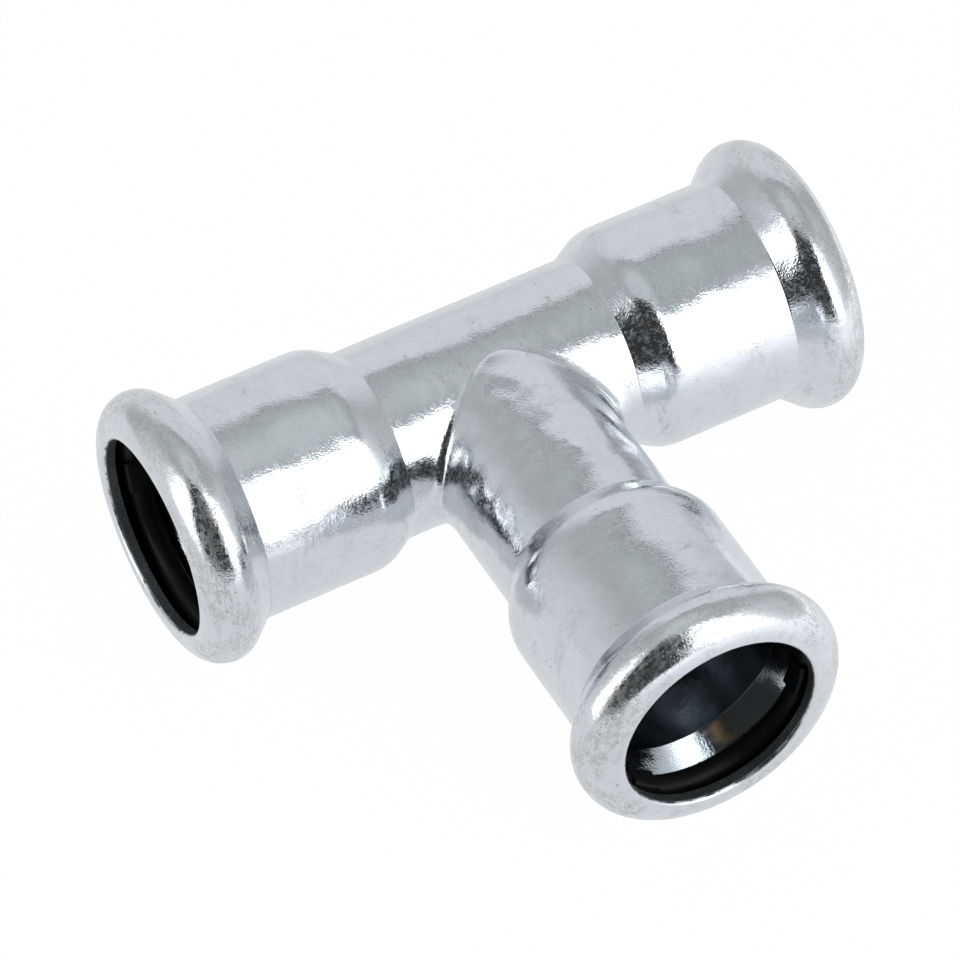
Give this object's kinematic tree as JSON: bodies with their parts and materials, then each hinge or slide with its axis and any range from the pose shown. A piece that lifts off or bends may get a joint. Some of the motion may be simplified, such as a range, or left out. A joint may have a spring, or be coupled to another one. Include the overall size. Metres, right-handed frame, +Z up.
{
  "type": "press tee fitting",
  "caption": "Equal tee of formed zinc-plated steel tube with press sockets, rounded beads at the mouths and black rubber seal rings, for joining thin-walled pipe.",
  "frame": {"origin": "on the surface that the fitting lies on, under the middle of its box", "axes": "+X along the run, -Y along the branch towards its mouth, +Z up"},
  "size_m": [0.082, 0.069, 0.0317],
  "materials": {
    "zinc_steel": "bright zinc plating with fine scuffs",
    "seal_rubber": "smooth black rubber, lightly greased"
  },
  "bodies": {
    "root": {"tee_body": "zinc_steel", "seal_left": "seal_rubber", "seal_right": "seal_rubber", "seal_branch": "seal_rubber"}
  },
  "joints": []
}
